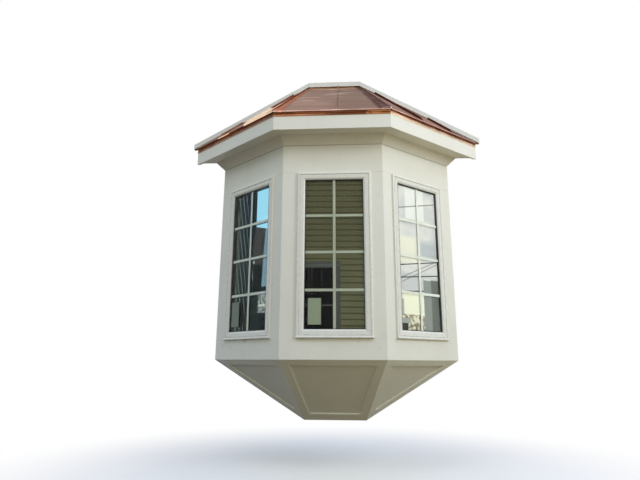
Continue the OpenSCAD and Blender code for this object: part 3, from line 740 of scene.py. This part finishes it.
def sill_parts(face):
    """Nose of the sill, the two weep covers over it and the bead of caulk round the frame."""
    name = face.name + "_window"
    low, high = face.window()
    nose = [
        (-0.0155, 0.0015), (-0.0215, 0.002), (-0.0220, 0.0045), (-0.0220, 0.0095),
        (-0.0210, 0.0120), (-0.0185, 0.0135), (-0.0155, 0.0140),
    ]
    bm = bmesh.new()
    ends = low[0] + 0.001, high[0] - 0.001
    join_ring(bm, [[face.point(x, depth, low[1] + z) for depth, z in nose] for x in ends])
    add_piece(name + "_sill_nose", bm, VINYL, "white_vinyl", face.name + "_window_frame")

    cover = [(-0.016, 0.0), (-0.016, 0.004), (-0.013, 0.007), (0.013, 0.007), (0.016, 0.004), (0.016, 0.0)]
    base, from_side = low[1] + 0.026, 0.085
    bm = bmesh.new()
    for x in (low[0] + from_side, high[0] - from_side):
        join_ring(bm, [
            [face.point(x + dx * scale, -FACE_OUT - out, base + dz) for dx, dz in cover]
            for out, scale in ((-0.0005, 1.0), (0.0025, 0.94))
        ])
    add_piece(name + "_weep_covers", bm, VINYL, "white_vinyl")

    caulk = [
        (-0.0045, 0.0), (-0.0020, -0.0012), (0.0, -0.0045),
        (0.0006, -0.0045), (0.0006, 0.001), (-0.0045, 0.001),
    ]
    add_piece(name + "_caulk", mitred_rails(face, low, high, [caulk] * 4), CAULK, "white_pvc")


def glazing(face):
    """Clear outer pane, inner pane painted with a reflection, and the dark spacer between them."""
    name = face.name + "_window"
    low, high = face.glass()
    inner_front = GLASS_FRONT + GLASS_T - PANE_T
    for part, front, material in (("outer", GLASS_FRONT, CLEAR), ("inner", inner_front, REFLECTION_PANES[face.name])):
        bm = bmesh.new()
        block(
            bm, face,
            (low[0] - GLASS_EDGE, front, low[1] - GLASS_EDGE),
            (high[0] + GLASS_EDGE, front + PANE_T, high[1] + GLASS_EDGE),
        )
        soften(bm, 0.0006, 1)
        add_piece(f"{name}_{part}_pane", bm, material, "glass", face.name + "_glass")

    seal = 0.0002
    near, far = GLASS_FRONT + PANE_T + seal, inner_front - seal
    edge, inset = -GLASS_EDGE, SPACER_W - GLASS_EDGE
    spacer = [(edge, near), (inset, near), (inset, far), (edge, far)]
    bm = mitred_rails(face, low, high, [spacer] * 4)
    add_piece(name + "_spacer", bm, GASKET, "spacer", "window_grilles")


def grille(face):
    """Flat bars with rounded edges, which run from spacer to spacer."""
    low, high = face.glass()
    width, height = high[0] - low[0], high[1] - low[1]
    front = GLASS_FRONT + (GLASS_T - BAR_T) / 2
    end = SPACER_W - GLASS_EDGE
    half = BAR_W / 2
    columns = [low[0] + width * i / GRILLE_COLUMNS for i in range(1, GRILLE_COLUMNS)]
    stops = [low[0] + end, *columns, high[0] - end]
    bars = bmesh.new()
    for x in columns:
        block(bars, face, (x - half, front, low[1] + end), (x + half, front + BAR_T, high[1] - end))
    for i in range(1, GRILLE_ROWS):
        z = low[1] + height * i / GRILLE_ROWS
        for j, (start, stop) in enumerate(zip(stops, stops[1:])):
            start += half * (j > 0)
            stop -= half * (j < GRILLE_COLUMNS - 1)
            block(bars, face, (start, front, z - half), (stop, front + BAR_T, z + half))
    soften(bars, 0.0022)
    name = face.name + "_window_bars"
    add_piece(name, bars, BARS_PAINTED_LIGHT[face.name], "white_vinyl", "window_grilles", smooth=50)


def labels():
    lift, thick = 0.0002, 0.0003
    front = GLASS_FRONT - lift
    for name, (x, z, width, height) in LABELS.items():
        low = (x - width / 2, front - thick, z - height / 2)
        high = (x + width / 2, front, z + height / 2)
        bm = bmesh.new()
        block(bm, FACES[name], low, high)
        add_piece(name + "_label", bm, LABEL_PAINTED_SHADE[name], "painted_board")


# Roof


def front_height(p):
    return Z_EAVE + FRONT_SLOPE * (p.y + PROJECTION + EAVE_OUT)


def out_of_side(p):
    """Distance of a plan point out from the right face."""
    return SIN * (p.x - HALF_FRONT) - COS * (p.y + PROJECTION)


RISE = FRONT_SLOPE * (PROJECTION + EAVE_OUT)
SIDE_SLOPE = RISE / (EAVE_OUT - out_of_side(Vector((HALF_TOP, 0))))


def side_height(p):
    return Z_EAVE + SIDE_SLOPE * (EAVE_OUT - out_of_side(p))


def up_side(p, y):
    """From p straight up the right slope to a plane of equal y."""
    return p + Vector((-SIN, COS)) * ((y - p.y) / COS)


def side_seam_foot(i):
    return corner(EAVE_OUT).lerp(at_wall(EAVE_OUT), i / (SIDE_SEAMS + 1))


def pan(name, node, corners, height, tone, side="right"):
    """A sheet with slight swells over four plan points, two at the eaves and two at the top."""
    first, last, top_last, top_first = corners
    columns, rows = 14, 22
    under_side = -COPPER_T * 0.8
    swell_height, swell_scale = 0.0022, 4

    def spot(u, v, lift):
        p = first.lerp(last, u).lerp(top_first.lerp(top_last, u), v)
        edge = 16 * u * (1 - u) * v * (1 - v)
        swell = max(0.0, noise.noise(Vector((p.x * swell_scale, p.y * swell_scale, 3.0))) + 0.6)
        return on_side(side, Vector((*p, height(p) + swell_height * edge * swell + lift)))

    def row(j, lift):
        return [bm.verts.new(spot(i / columns, j / rows, lift)) for i in range(columns + 1)]

    bm = bmesh.new()
    top, under = ([row(j, lift) for j in range(rows + 1)] for lift in (0.0, under_side))
    for grid in (top, under):
        for low, high in zip(grid, grid[1:]):
            for i in range(columns):
                bm.faces.new((low[i], low[i + 1], high[i + 1], high[i]))
    for i in range(columns):
        for j in (0, rows):
            bm.faces.new((top[j][i], top[j][i + 1], under[j][i + 1], under[j][i]))
    for j in range(rows):
        for i in (0, columns):
            bm.faces.new((top[j][i], top[j + 1][i], under[j + 1][i], under[j][i]))
    bmesh.ops.remove_doubles(bm, verts=bm.verts, dist=1e-5)
    add_copper(name, bm, tone, node)


def roof_pans():
    foot, hip = corner(EAVE_OUT), hip_point(WALL_FACE)
    gap = Vector((PAN_GAP, 0))
    seam_foot, seam_head = Vector((FRONT_SEAM_X, foot.y)), Vector((FRONT_SEAM_X, WALL_FACE))
    left = mirrored(foot) + gap, seam_foot - gap, seam_head - gap, mirrored(hip) + gap
    right = seam_foot + gap, foot - gap, hip - gap, seam_head + gap
    pan("front_pan_left", "front_roof_pans", left, front_height, "front")
    pan("front_pan_right", "front_roof_pans", right, front_height, "front")

    along = Vector((COS, SIN)) * PAN_GAP
    wall_end = at_wall(EAVE_OUT, WALL_FACE)
    # The left slope's pan at the corner is a painted highlight, and the right slope's pan at the wall is
    # painted shade
    for side, tones in (("left", ("lit", "side", "side")), ("right", ("side", "side", "plum_shade"))):
        for i, tone in enumerate(tones):
            start, end = side_seam_foot(i) + along, side_seam_foot(i + 1) - along
            top_start = hip + along if i == 0 else up_side(start, WALL_FACE)
            if i == SIDE_SEAMS:
                corners = start, wall_end, wall_end, top_start
            else:
                corners = start, end, up_side(end, WALL_FACE), top_start
            pan(f"{side}_pan_{i}", side + "_roof_pans", corners, side_height, tone, side)


def eave_strip(name, side, section, tone, *nodes, start=0.0, stop=1.0):
    """A bent strip along one side's eaves, from one share of its length to another."""
    def station(out, z, share):
        if side == "front":
            p = mirrored(corner(out)).lerp(corner(out), share)
        else:
            p = corner(out).lerp(at_wall(out, EAVE_END_Y), share)
        return on_side(side, Vector((*p, z)))

    steps = max(2, round(12 * (stop - start)))
    shares = [start + (stop - start) * step / steps for step in range(steps + 1)]
    bm = bmesh.new()
    join_ring(bm, [[station(out, z, share) for out, z in section] for share in shares])
    add_copper(name, bm, tone, *nodes, smooth=FOLDED)


def pan_hems():
    """The pans' turned-down edges over the drip edge, with a small gap between one pan and the next."""
    thick, gap, third, left_crease = 0.0012, 0.002, 1 / (SIDE_SEAMS + 1), 0.52
    top, bottom = Z_EAVE - 0.0008, Z_EAVE - 0.0095
    section = [(EAVE_OUT - thick, top), (EAVE_OUT, top), (EAVE_OUT, bottom), (EAVE_OUT - thick, bottom)]
    strips = {
        "front": [("hem", 0, 1)],
        "right": [("hem", 0, third), ("hem", third, 2 * third), ("hem", 2 * third, 1)],
        # On the left, hems with painted highlights alternate with plain brown ones
        "left": [
            ("peach_highlight", 0, third), ("brown", third, left_crease),
            ("peach_highlight", left_crease, 2 * third), ("brown", 2 * third, 1),
        ],
    }
    for side, rows in strips.items():
        for i, (tone, start, stop) in enumerate(rows):
            name = side + "_pan_hem" + (f"_{i}" if len(rows) > 1 else "")
            eave_strip(name, side, section, tone, start=start + gap, stop=stop - gap)


def drip_edge():
    """Flange on the fascia under a lip, with the hemmed kick at its foot a strip of its own."""
    top, bend, foot = Z_EAVE - 0.004, DRIP_FOOT + 0.023, DRIP_FOOT + 0.0035
    back, lip = OVERHANG, EAVE_OUT - 0.0030
    flange = [
        (back, top), (back, bend - 0.0010), (back + 0.0016, bend), (back + 0.0016, top - 0.0060),
        (back + 0.0040, top - 0.0030), (lip - 0.0030, top - 0.0026),
        (lip - 0.0015, top - 0.0060), (lip, top - 0.0060), (lip, top),
    ]
    kick = [
        (back, bend), (back + 0.0012, foot + 0.0022), (back + 0.0018, foot), (back + 0.0042, foot),
        (back + 0.0048, foot + 0.0022), (back + 0.0042, foot + 0.0040),
        (back + 0.0030, bend + 0.0022), (back + 0.0016, bend + 0.0022),
    ]
    # The right kick is a painted highlight
    tones = {"left": ("brown", "tan"), "front": ("drip", "drip"), "right": ("dark", "peach_highlight")}
    for side, (flange_tone, kick_tone) in tones.items():
        eave_strip(side + "_drip_flange", side, flange, flange_tone, "drip_edge")
        eave_strip(side + "_drip_kick", side, kick, kick_tone)


def seam(name, foot, head, height, tone, side="right"):
    """A double-locked standing seam with its foot end folded down."""
    way = (head - foot).normalized()
    across = Vector((-way.y, way.x))
    top = 0.024
    section = [
        (-0.0020, 0.0), (-0.0020, top - 0.010), (-0.0032, top - 0.009), (-0.0032, top - 0.0015),
        (-0.0020, top - 0.0004), (0.0016, top), (0.0024, top - 0.0012), (0.0020, top - 0.010), (0.0020, 0.0),
    ]
    run = (head - foot).length
    stations = [(0.006, 0.25), (0.030, 1.0), (run * 0.35, 1.0), (run * 0.7, 1.0), (run - 0.016, 1.0)]
    rows = []
    for distance, raised in stations:
        row = []
        for side_step, rise in section:
            p = foot + way * distance + across * side_step
            row.append(on_side(side, Vector((*p, height(p) + rise * raised))))
        rows.append(row)
    bm = bmesh.new()
    join_ring(bm, rows)
    add_copper(name, bm, tone, "roof_seams")


def roof_seams():
    foot, head = (Vector((FRONT_SEAM_X, y)) for y in (corner(EAVE_OUT).y, WALL_FACE))
    seam("front_seam", foot, head, front_height, "front")
    # The left's first seam has a painted highlight low down; the right seams are painted shade
    for side, tones in (("left", ("part_highlit_seam", "tan")), ("right", ("plum_shade", "plum_shade"))):
        for i, tone in enumerate(tones, 1):
            foot = side_seam_foot(i)
            seam(f"{side}_seam_{i}", foot, up_side(foot, WALL_FACE), side_height, tone, side)


def hip_rows(front_line, side_line):
    """Rows of a strip along the right hip; a line is (share of the wing's width, metres beside, lift)."""
    steps = 18
    foot, head = corner(EAVE_OUT), hip_point(WALL_FACE)
    hip = (head - foot).normalized()
    rows = []
    for step in range(steps + 1):
        share = step / steps
        p = foot.lerp(head, share)
        wing = HIP_WING_FOOT + (HIP_WING_HEAD - HIP_WING_FOOT) * share
        side_way = Vector((COS, SIN)).lerp(Vector((1, 0)), share)
        front_step = Vector((-1, 0)) / abs(hip.y)
        side_step = side_way / abs(hip.cross(side_way))
        slopes = (front_height, front_step, front_line), (side_height, side_step, side_line)
        row = []
        for height, away, line in slopes:
            for wing_share, beside, lift in line:
                q = p + away * (wing * wing_share + beside)
                row.append(Vector((*q, height(q) + lift)))
        rows.append(row)
    return rows


def hip_caps():
    """A tapered wing with a hemmed edge on each slope, and a fold that stands up along the hip."""
    wing = [
        (0, 0.003, 0.0004), (1, 0, 0.0004), (1, 0, 0.0032),
        (1, -0.006, 0.0030), (1, -0.007, 0.0018), (0, 0.003, 0.0018),
    ]
    fold = [(0, 0.004, 0.0), (0, 0.004, 0.0085), (0, 0.0025, 0.0102), (0, 0, 0.0105)]
    back_down = fold[-2::-1]
    parts = {"front_wing": (wing, []), "side_wing": ([], wing), "fold": (fold, back_down)}
    # The right wings are painted shade and the right fold a painted highlight; the left fold is dark brown as
    # a painted shadow
    for side, tones in (("left", ("red", "side", "brown")), ("right", ("plum_shade", "plum_shade", "pink_highlight"))):
        for (part, lines), tone in zip(parts.items(), tones):
            bm = bmesh.new()
            join_ring(bm, [[on_side(side, point) for point in row] for row in hip_rows(*lines)])
            add_copper(f"{side}_hip_{part}", bm, tone, "hip_caps", smooth=FOLDED)


def corner_laps():
    """The folded end of each hip cap: a small tab in two layers, turned down over the eaves."""
    foot = corner(EAVE_OUT)
    from_corner, drop, settle = 0.006, 0.012, 0.0016
    # The right tab is painted in the pale copper of a painted highlight
    for side, tone in (("left", "red"), ("right", "pink_highlight")):
        bm = bmesh.new()
        for width, reach, lift in ((0.070, 0.016, 0.0036), (0.040, 0.030, 0.0060)):
            rows = []
            for share, raised in ((0.0, lift - settle), (0.15, lift), (0.85, lift), (1.0, lift - settle)):
                x = foot.x - from_corner - width * share
                z_reach = front_height(Vector((x, foot.y + reach)))
                outline = [
                    (0.0004, Z_EAVE - drop), (0.0004, Z_EAVE + raised), (reach, z_reach + raised),
                    (reach, z_reach + 0.0008), (0.0020, Z_EAVE + 0.0010), (0.0016, Z_EAVE - drop),
                ]
                rows.append([on_side(side, Vector((x, foot.y + inward, z))) for inward, z in outline])
            join_ring(bm, rows)
        add_copper(side + "_corner_lap", bm, tone, smooth=FOLDED)


def wall_boards(heights, depths, width, end_cut=0.0):
    """Boards on the wall along the roof's edge, between two heights over the copper.

    The sloped ones end end_cut short of the eaves' outer edge.
    """
    hip, end = hip_point(WALL_FACE), at_wall(EAVE_OUT)
    fall = (PANS_HIGH.z - TRIM_FOOT) / (end.x - hip.x)
    gap = 0.0005
    level = [(-hip.x + gap, PANS_HIGH.z), (hip.x - gap, PANS_HIGH.z)]
    right = [(hip.x, PANS_HIGH.z), (end.x - end_cut, TRIM_FOOT + fall * end_cut)]
    left = [(-x, z) for x, z in right]
    low, high = heights
    bm = bmesh.new()
    for line in (level, right, left):
        outline = [(x, z + low) for x, z in line] + [(x, z + high) for x, z in reversed(line)]
        join_ring(bm, [[Vector((x, y, z)) for x, z in outline] for y in depths])
    soften(bm, width)
    return bm


def wall_trim():
    """White board on the wall over the roof, with the copper's upstand below it before a backing strip."""
    low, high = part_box("wall_trim")
    z_bottom, z_top = low.z - TRIM_FOOT, high.z - PANS_HIGH.z
    z_board, gap, end_cut = 0.003, 0.0005, 0.040
    board = wall_boards((z_board, z_top), (0, low.y), 0.0012)
    add_piece("wall_trim_board", board, SHADED_PVC, "white_pvc", "wall_trim", smooth=FLAT)
    backing = wall_boards((z_bottom, z_board - gap), (0, WALL_FACE), 0.0005, end_cut)
    add_piece("wall_trim_backing", backing, PVC, "white_pvc", "wall_trim", smooth=FLAT)
    upstand_back, upstand_t = WALL_FACE - 0.0002, 0.0012
    upstand = wall_boards((gap, z_board - gap), (upstand_back, upstand_back - upstand_t), 0.0003, end_cut)
    add_copper("roof_upstand", upstand, "shaded", smooth=FLAT)


# Boards and timber


def boards():
    """Every board and timber, each with the width of its eased edges."""
    for side in FACES:
        for node, width in (
            (side + "_apron", 0.0012), (side + "_stiles", 0.0012), (side + "_head_panel", 0.0026),
            (side + "_fascia", 0.0014), (f"base_{side}_frame", 0.0014), (f"base_{side}_panel", 0.0008),
        ):
            eased_copy(node, PVC, "white_pvc", width)
        eased_copy(side + "_wall", LINING, "painted_board", 0.0010)
    eased_copy("frieze", PVC, "white_pvc", 0.0030)
    eased_copy("soffit", PVC, "white_pvc", 0.0012)
    for node in ("seat_board", "ceiling_board"):
        eased_copy(node, PAINTED, "painted_board", 0.0020)
    for node in ("platform_ledger", "platform", "roof_ledger"):
        eased_copy(node, WOOD_X, "framing_wood", 0.0025)
    for node in ("rafters", "base_brackets"):
        eased_copy(node, WOOD_Y, "framing_wood", 0.0025)
    eased_copy("roof_deck", WOOD_X, "plywood", 0.0008)


# Stage: camera, floor, world and lights


def camera():
    """The photograph's view: place, turn, tilt and roll, with a lens for a frame 640 px wide."""
    place = (0.1430, -4.3425, -0.0867)
    focal_px, frame_px = 497.64, 640
    yaw, pitch, roll = math.radians(-3.623), math.radians(13.788), math.radians(0.253)
    data = bpy.data.cameras.new("camera")
    data.sensor_width = 36
    data.lens = focal_px / frame_px * data.sensor_width
    made = new_object("camera", data)
    forward = Vector((math.sin(yaw) * math.cos(pitch), math.cos(yaw) * math.cos(pitch), math.sin(pitch)))
    level = Vector((math.cos(yaw), -math.sin(yaw), 0))
    upright = level.cross(forward)
    right = level * math.cos(roll) + upright * math.sin(roll)
    up = upright * math.cos(roll) - level * math.sin(roll)
    made.matrix_world = Matrix.Translation(place) @ Matrix((right, up, -forward)).transposed().to_4x4()
    bpy.context.scene.camera = made


def floor():
    """A pale floor that keeps the soft shadow near the object and turns white further out."""
    radius, below_object = 14.0, 0.40
    z = cad_box[0].z - below_object
    bm = bmesh.new()
    bmesh.ops.create_circle(bm, cap_ends=True, segments=64, radius=radius)
    bmesh.ops.translate(bm, verts=bm.verts, vec=(0, 0, z))
    made = new_object("floor", new_mesh("floor", bm))
    paint = Paint("floor", Roughness=0.9, Specular_IOR_Level=0.1)
    made.data.materials.append(paint.material)
    seen = paint.seen_directly()
    distance = paint.node("VectorMath", {0: paint.coords}, operation="LENGTH").outputs["Value"]
    near, further = (0.13, 0.087, 0.03, 1), (0.28, 0.23, 0.078, 1)
    far_off, on_left = (0.60, 0.46, 0.20, 1), (0.04, 0.03, 0.03, 1)
    lighting = paint.blend(paint.level(distance, 1.0, 2.0), near, further)
    lighting = paint.blend(paint.level(distance, 2.2, 4.5), lighting, far_off)
    lighting = paint.blend(paint.level(paint.axis("X"), -0.1, -0.8), lighting, on_left)
    paint.colour(paint.blend(seen, lighting, (250, 250, 249)))
    far = paint.level(distance, 1.3, 3.4)
    glow = paint.node("Emission", {"Color": (1, 1, 1, 1), "Strength": 1.0})
    mixed = paint.node("MixShader", {0: paint.math("MULTIPLY", far, seen)})
    paint.put(mixed.inputs[1], paint.shader.outputs[0])
    paint.put(mixed.inputs[2], glow.outputs[0])
    paint.put(paint.tree.nodes["Material Output"].inputs["Surface"], mixed.outputs[0])


def world():
    """White where it is seen; as a light, a soft sky that is brighter on the right and bluish on the left."""
    made = bpy.data.worlds.new("sky")
    bpy.context.scene.world = made
    made.use_nodes = True
    nodes = Nodes(made.node_tree)
    way = nodes.node("SeparateXYZ", {"Vector": nodes.node("TexCoord").outputs["Generated"]}).outputs
    left, front, right = (0.95, 1.37, 1.58, 1), (0.60, 0.42, 0.12, 1), (1.50, 1.90, 2.05, 1)
    overhead, behind, ground = (0.80, 0.86, 1.40, 1), (0.33, 0.30, 0.22, 1), (0.23, 0.175, 0.075, 1)
    sky = nodes.blend(nodes.level(way["X"], -0.95, 0.0), left, front)
    sky = nodes.blend(nodes.level(way["X"], 0.0, 0.95), sky, right)
    sky = nodes.blend(nodes.level(way["Z"], 0.5, 1.0), sky, overhead)
    sky = nodes.blend(nodes.level(way["Y"], -0.05, 0.3), sky, behind)
    sky = nodes.blend(nodes.level(way["Z"], -0.04, 0.30), ground, sky)
    seen = nodes.blend(nodes.seen_directly(), sky, (1, 1, 1, 1))
    nodes.put(nodes.tree.nodes["Background"].inputs["Color"], seen)


def area_light(name, place, target, size, power, colour):
    data = bpy.data.lights.new(name, "AREA")
    data.shape = "RECTANGLE"
    data.size, data.size_y = size
    data.energy = power
    data.color = colour
    made = new_object(name, data)
    made.location = place
    made.rotation_euler = (Vector(target) - Vector(place)).to_track_quat("-Z", "Y").to_euler()
    made.visible_camera = False


def lights():
    area_light("softbox_right", (3.4, -2.6, 2.6), (0, -0.3, 1.0), (2.0, 2.0), 62, (0.95, 0.96, 1.0))
    area_light("softbox_top", (-1.2, -3.6, 4.6), (0, -0.3, 1.2), (2.6, 2.0), 37, (0.82, 0.91, 1.0))


bpy.context.scene.view_settings.view_transform = "Standard"
camera()
floor()
world()
lights()
boards()
for bay_face in FACES.values():
    window_frame(bay_face)
    sill_parts(bay_face)
    glazing(bay_face)
    grille(bay_face)
labels()
roof_pans()
pan_hems()
roof_seams()
hip_caps()
corner_laps()
drip_edge()
wall_trim()
